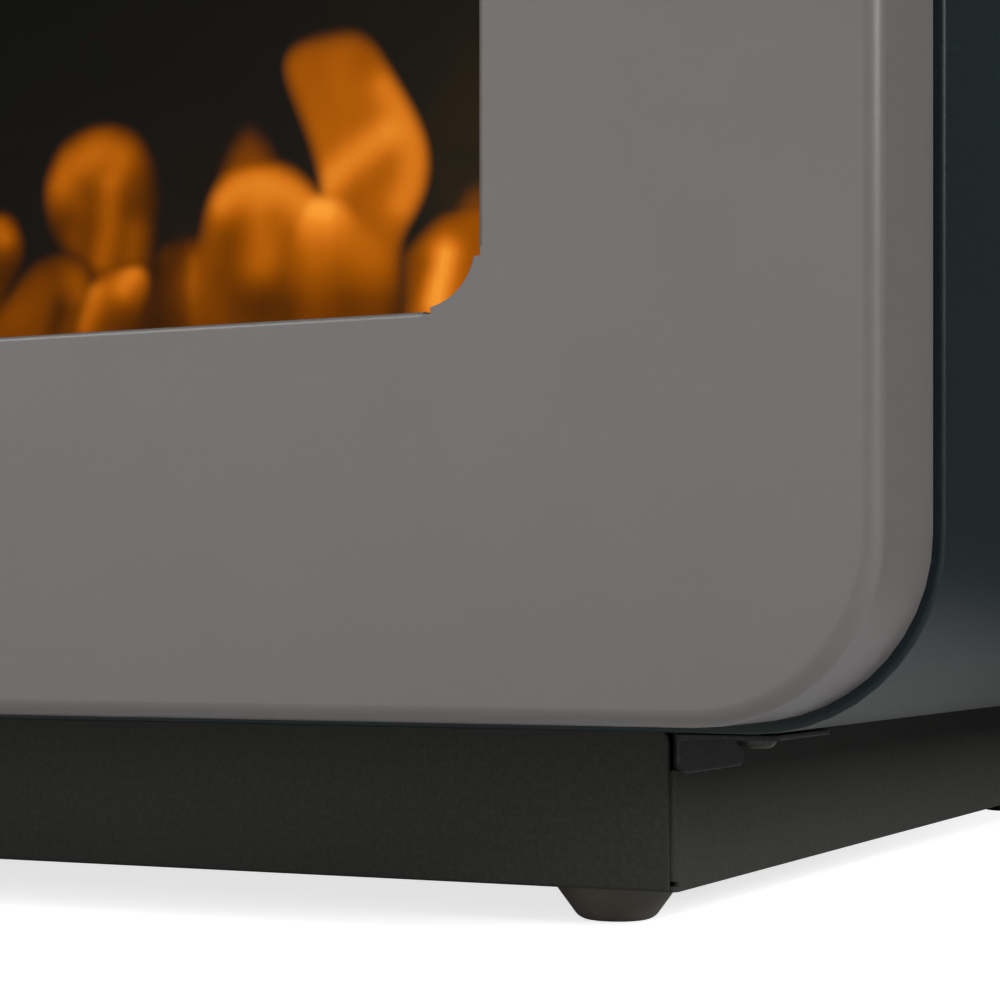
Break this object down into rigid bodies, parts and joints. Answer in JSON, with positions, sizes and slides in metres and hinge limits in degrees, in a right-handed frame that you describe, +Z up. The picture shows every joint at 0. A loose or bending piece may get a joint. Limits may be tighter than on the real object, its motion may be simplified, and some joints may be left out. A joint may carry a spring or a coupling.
{
  "type": "bioethanol fireplace",
  "caption": "Free-standing bioethanol fireplace: rounded sheet-steel front with a wide window, dark firebox, long lift-out burner under a sliding regulator cover, folded plinth on rubber feet.",
  "frame": {"origin": "on the floor, under the middle of the object's bounding box", "axes": "+X to the viewer's right along the wide front, +Y from the window to the back, +Z up"},
  "size_m": [0.9, 0.385, 0.582],
  "materials": {
    "panel_lacquer": "satin taupe grey lacquer",
    "casing_paint": "fine-texture satin black powder coat",
    "plinth_paint": "fine-texture satin black powder coat",
    "liner_paint": "heat-resistant satin black paint",
    "stainless_steel": "brushed",
    "zinc_steel": "bright zinc plated",
    "black_screw": "black oxide",
    "galvanised_steel": "galvanised",
    "foot_rubber": "matt moulded rubber",
    "wool": "soft ceramic fibre"
  },
  "bodies": {
    "body": {"back_panel": "casing_paint", "back_panel_screws": "zinc_steel", "bracket_front_left": "plinth_paint", "bracket_front_right": "plinth_paint", "bracket_rear_left": "plinth_paint", "bracket_rear_right": "plinth_paint", "bracket_screws": "black_screw", "casing_shell": "casing_paint", "casing_weld_nuts": "zinc_steel", "firebox_back": "liner_paint", "firebox_back_screws": "zinc_steel", "firebox_side_left": "liner_paint", "firebox_side_right": "liner_paint", "firebox_top": "liner_paint", "firebox_top_screws": "zinc_steel", "foot_front_left": "foot_rubber", "foot_front_right": "foot_rubber", "foot_nuts": "zinc_steel", "foot_rear_left": "foot_rubber", "foot_rear_right": "foot_rubber", "foot_screws": "zinc_steel", "front_panel": "panel_lacquer", "hearth_plate": "liner_paint", "hearth_support_left": "galvanised_steel", "hearth_support_right": "galvanised_steel", "liner_screws": "black_screw", "panel_angles": "galvanised_steel", "panel_screws": "zinc_steel", "plinth_back": "plinth_paint", "plinth_front": "plinth_paint", "plinth_side_left": "plinth_paint", "plinth_side_right": "plinth_paint", "shield_screws": "zinc_steel", "shield_spacers": "galvanised_steel", "spill_tray": "galvanised_steel", "top_heat_shield": "galvanised_steel"},
    "burner": {"burner_tank": "stainless_steel", "burner_top_plate": "stainless_steel", "ceramic_wool": "wool", "wool_grille": "stainless_steel", "slide_rail_left": "stainless_steel", "slide_rail_right": "stainless_steel", "rail_screws": "zinc_steel"},
    "regulator": {"regulator_slide": "stainless_steel", "pull_lug": "stainless_steel"}
  },
  "joints": [
    {"name": "burner_lift", "type": "slide", "parent": "body", "child": "burner", "axis": [0, 0, 1], "range_m": [0, 0.075]},
    {"name": "regulator_travel", "type": "slide", "parent": "burner", "child": "regulator", "axis": [0, -1, 0], "range_m": [0, 0.054]}
  ]
}
